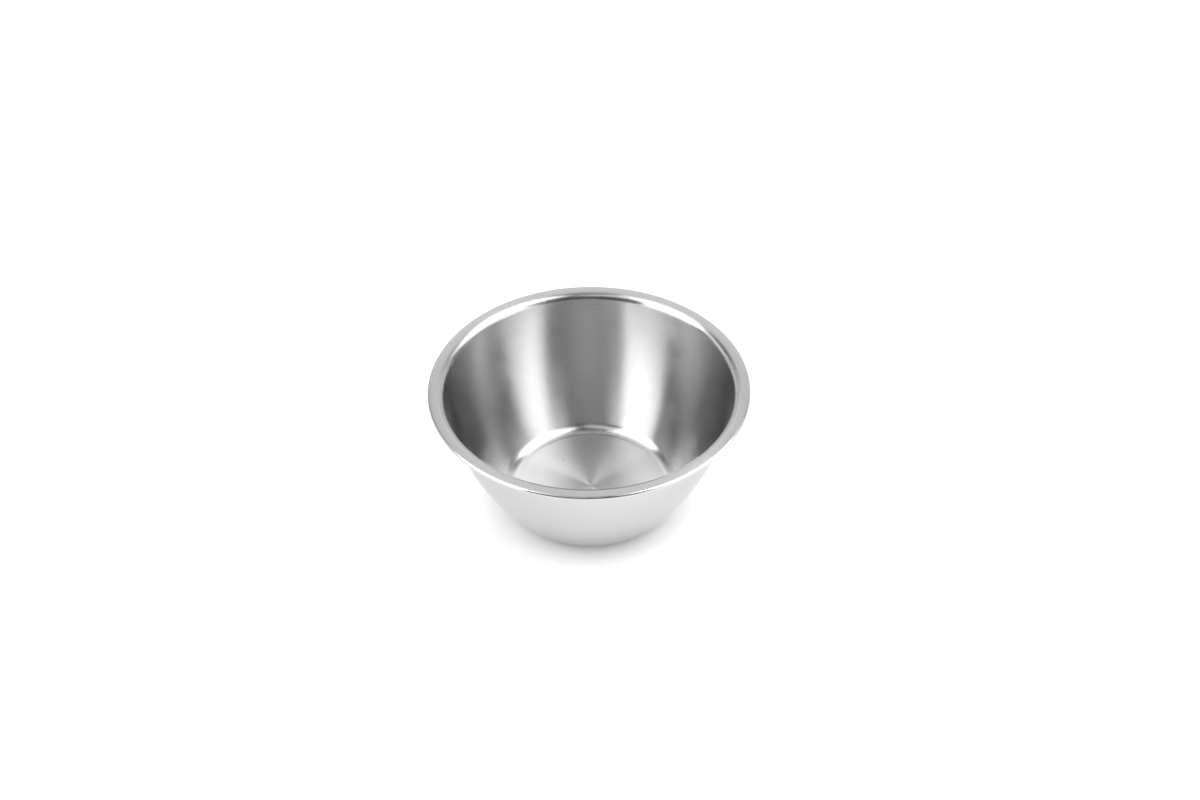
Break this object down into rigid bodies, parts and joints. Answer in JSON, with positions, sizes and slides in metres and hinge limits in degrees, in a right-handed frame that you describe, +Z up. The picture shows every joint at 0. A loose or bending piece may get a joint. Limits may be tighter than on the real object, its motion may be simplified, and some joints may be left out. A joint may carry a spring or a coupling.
{
  "type": "prep bowl",
  "caption": "Round stainless steel prep bowl with a flat floor, flared wall and flattened rolled rim, for holding and mixing small amounts of food.",
  "frame": {"origin": "centre of the underside of the flat floor, on the surface the bowl stands on", "axes": "+Z up along the bowl's axis of revolution, out of its mouth; X and Y are alike, because the bowl is round"},
  "size_m": [0.1428, 0.1428, 0.0635],
  "materials": {
    "floor_steel": "turned satin, fine concentric brush lines about the centre",
    "wall_steel": "satin, fine brush lines round the wall",
    "rim_steel": "smooth buffed satin"
  },
  "bodies": {
    "root": {"floor_panel": "floor_steel", "base_corner": "wall_steel", "side_wall": "wall_steel", "rim_shoulder": "rim_steel", "rim_crown": "rim_steel", "rim_curl": "rim_steel"}
  },
  "joints": []
}
